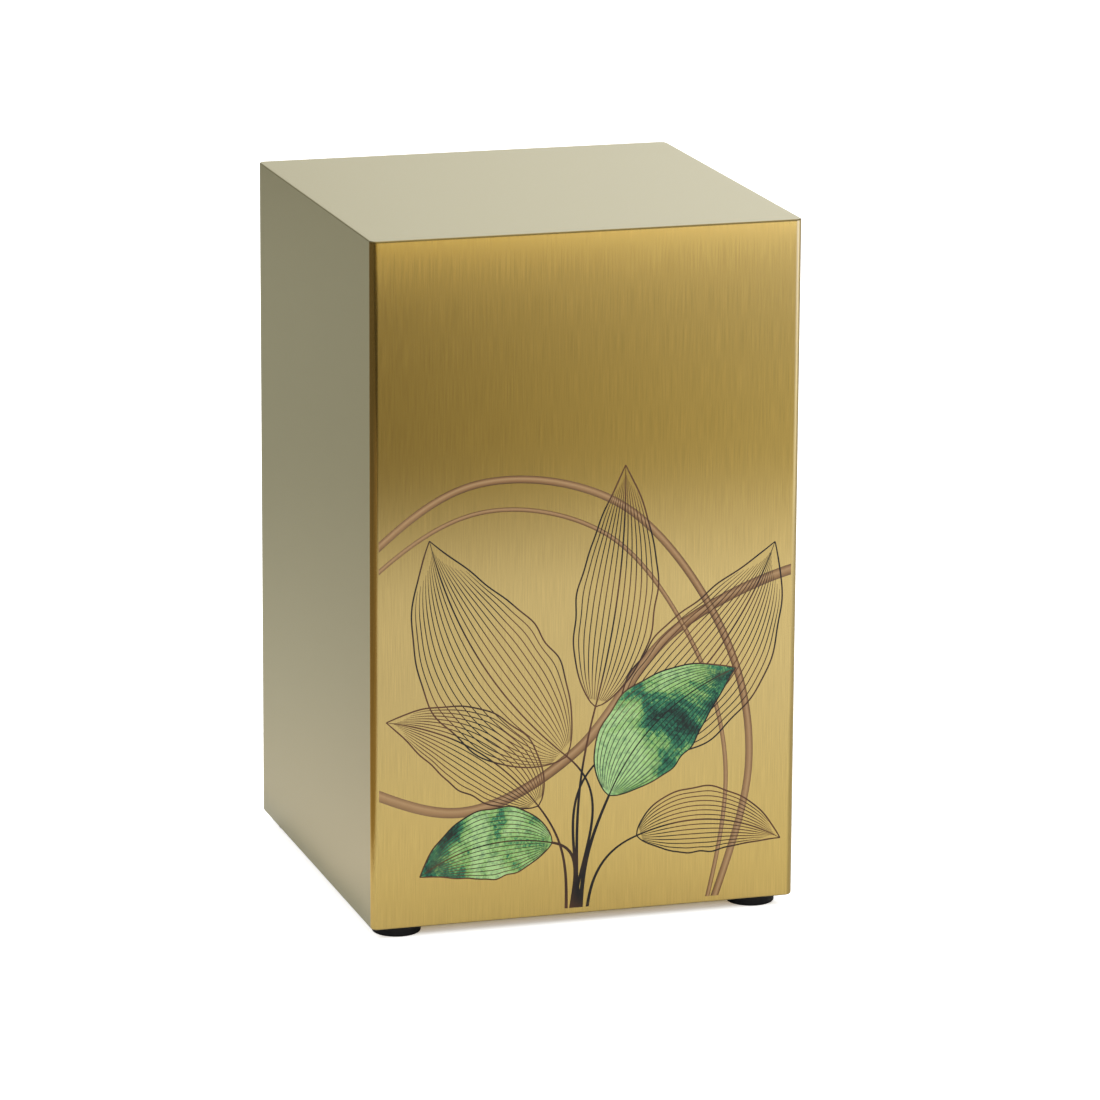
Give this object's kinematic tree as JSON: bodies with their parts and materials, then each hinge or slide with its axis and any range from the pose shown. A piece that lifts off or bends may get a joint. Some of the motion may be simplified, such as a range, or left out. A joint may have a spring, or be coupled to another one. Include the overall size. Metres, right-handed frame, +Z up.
{
  "type": "cremation urn",
  "caption": "Upright box-shaped metal cremation urn: hollow casing with a brushed brass front and lacquered sides and top, closed below by a screwed base plate on round rubber feet.",
  "frame": {"origin": "middle of the underside, on the surface that the feet stand on", "axes": "+Z up, the printed brushed front faces -Y, +X is the right-hand side seen from the front"},
  "size_m": [0.18, 0.18, 0.2888],
  "materials": {
    "brushed_brass": "upright brushed, clear coated, on the front; sides, back and top in satin champagne lacquer",
    "champagne_lacquer": "satin metallic lacquer",
    "printed_ink": "printed colour under the clear coat",
    "plain_steel": "plain mill finish",
    "black_rubber": "matt"
  },
  "bodies": {
    "root": {"casing": "brushed_brass", "base_plate": "plain_steel", "foot_front_left": "black_rubber", "foot_front_right": "black_rubber", "foot_back_left": "black_rubber", "foot_back_right": "black_rubber", "base_screw_front_left": "plain_steel", "base_screw_front_right": "plain_steel", "base_screw_back_left": "plain_steel", "base_screw_back_right": "plain_steel"}
  },
  "joints": []
}
